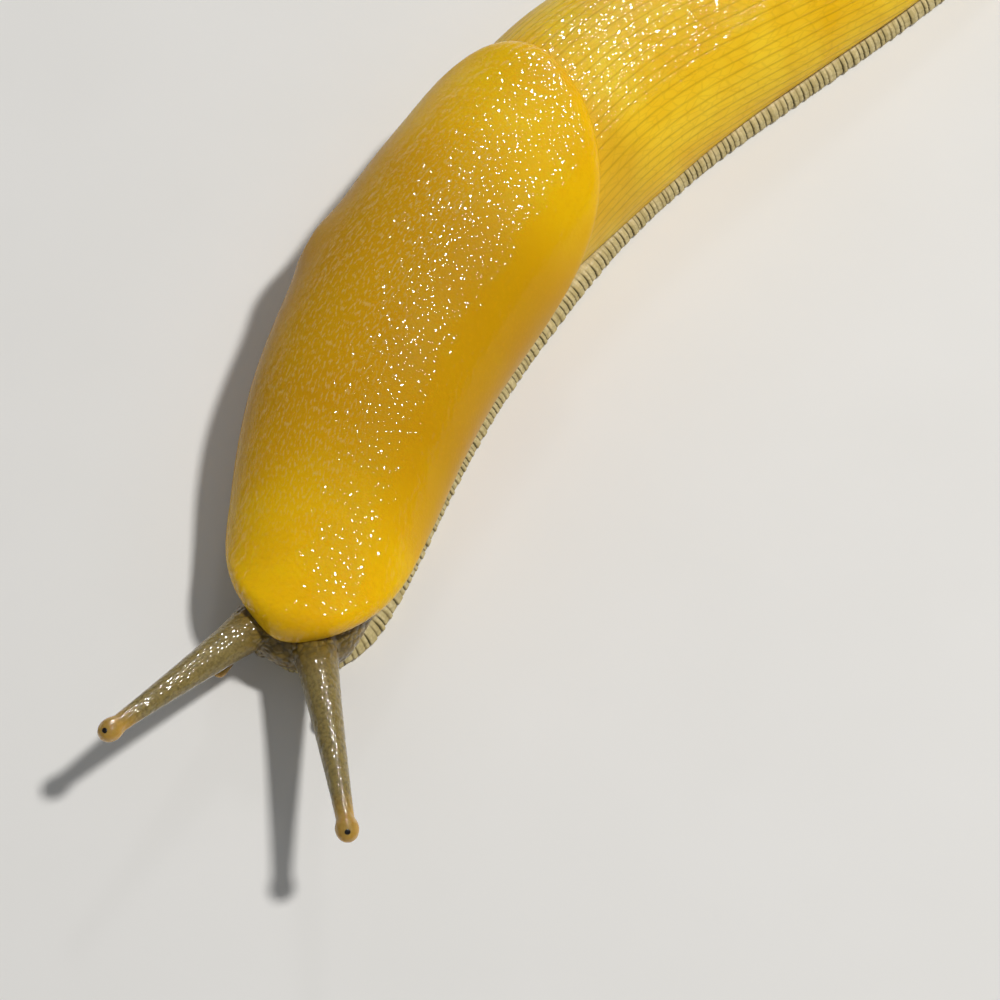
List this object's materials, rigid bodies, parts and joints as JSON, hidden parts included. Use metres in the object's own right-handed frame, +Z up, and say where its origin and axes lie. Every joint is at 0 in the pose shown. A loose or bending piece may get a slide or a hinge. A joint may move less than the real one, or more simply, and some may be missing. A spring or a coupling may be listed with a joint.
{
  "type": "banana slug",
  "caption": "Life-size still model of a yellow banana slug crawling on a flat sole, with a shield-shaped mantle, a ribbed foot fringe and its tentacles out.",
  "frame": {"origin": "middle of the bounding box, on the floor that the sole rests on", "axes": "+Z up, +Y towards the tail, +X on the animal's left"},
  "size_m": [0.0454, 0.1922, 0.0204],
  "materials": {
    "mantle_skin": "wet, finely pitted saturated yellow skin",
    "body_skin": "wet grooved yellow skin with ochre lines",
    "head_skin": "wet granular olive-brown skin",
    "foot_fringe": "wet cream-grey ribs with dark furrows",
    "eye_knob_skin": "wet translucent amber",
    "eye": "glossy black"
  },
  "bodies": {
    "root": {"head": "head_skin", "neck": "head_skin", "trunk_front": "body_skin", "trunk_rear": "body_skin", "tail_front": "body_skin", "tail_middle": "body_skin", "tail_tip": "body_skin", "foot_front": "foot_fringe", "foot_middle": "foot_fringe", "foot_rear": "foot_fringe", "foot_tail": "foot_fringe", "foot_tip": "foot_fringe", "mantle": "mantle_skin", "upper_tentacle_left_root": "head_skin", "upper_tentacle_left_shaft": "head_skin", "upper_tentacle_right_root": "head_skin", "upper_tentacle_right_shaft": "head_skin", "eye_knob_left": "eye_knob_skin", "eye_knob_right": "eye_knob_skin", "eye_left": "eye", "eye_right": "eye", "lower_tentacle_left": "head_skin", "lower_tentacle_right": "head_skin", "lip_left": "head_skin", "lip_right": "head_skin"}
  },
  "joints": []
}
